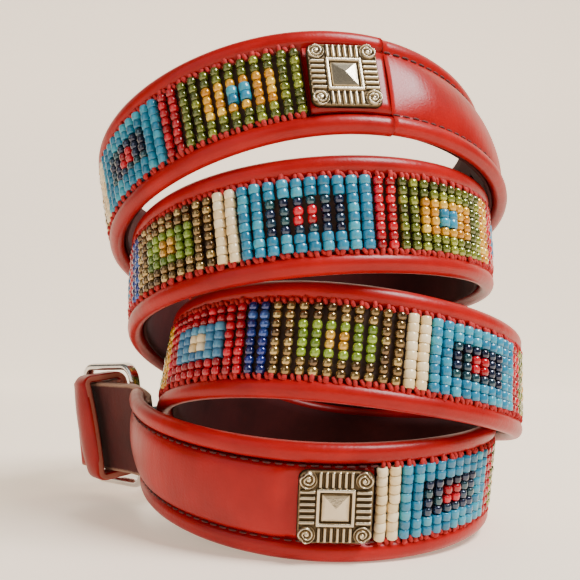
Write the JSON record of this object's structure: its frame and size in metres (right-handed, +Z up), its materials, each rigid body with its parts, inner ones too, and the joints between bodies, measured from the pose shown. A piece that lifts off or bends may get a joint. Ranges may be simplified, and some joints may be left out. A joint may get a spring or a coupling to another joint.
{
  "type": "beaded leather belt",
  "caption": "Red padded leather belt with a woven panel of coloured glass beads, square ribbed silver conchos and a steel frame buckle, loosely coiled and standing on its edge.",
  "frame": {"origin": "middle of the bottom of the coiled belt's box, on the surface that it stands on", "axes": "+Z up along the coil, -Y towards the side where both conchos show, -X towards the buckle"},
  "size_m": [0.101, 0.084, 0.0896],
  "materials": {
    "red_leather": "smooth semi-gloss",
    "lining_leather": "matt",
    "raw_leather": "matt",
    "glass_beads": "glossy glass seed beads in several colours",
    "aged_silver": "aged satin",
    "polished_steel": "polished"
  },
  "bodies": {
    "belt": {"strap": "red_leather", "lining": "lining_leather", "bead_panel": "glass_beads", "pad": "red_leather", "tongue": "red_leather", "concho_1": "aged_silver", "concho_2": "aged_silver", "chape": "raw_leather", "keeper": "red_leather"},
    "frame": {"buckle_frame": "polished_steel"},
    "prong_body": {"prong": "polished_steel"}
  },
  "joints": [
    {"name": "frame_hinge", "type": "hinge", "parent": "belt", "child": "frame", "pos_m": [-0.04607, 0.01975, 0.01648], "axis": [-0.1179, -0.0775, 0.99], "range_deg": [0, 150]},
    {"name": "prong_hinge", "type": "hinge", "parent": "frame", "child": "prong_body", "pos_m": [-0.04607, 0.01975, 0.01648], "axis": [-0.1179, -0.0775, 0.99], "range_deg": [0, 60]}
  ]
}
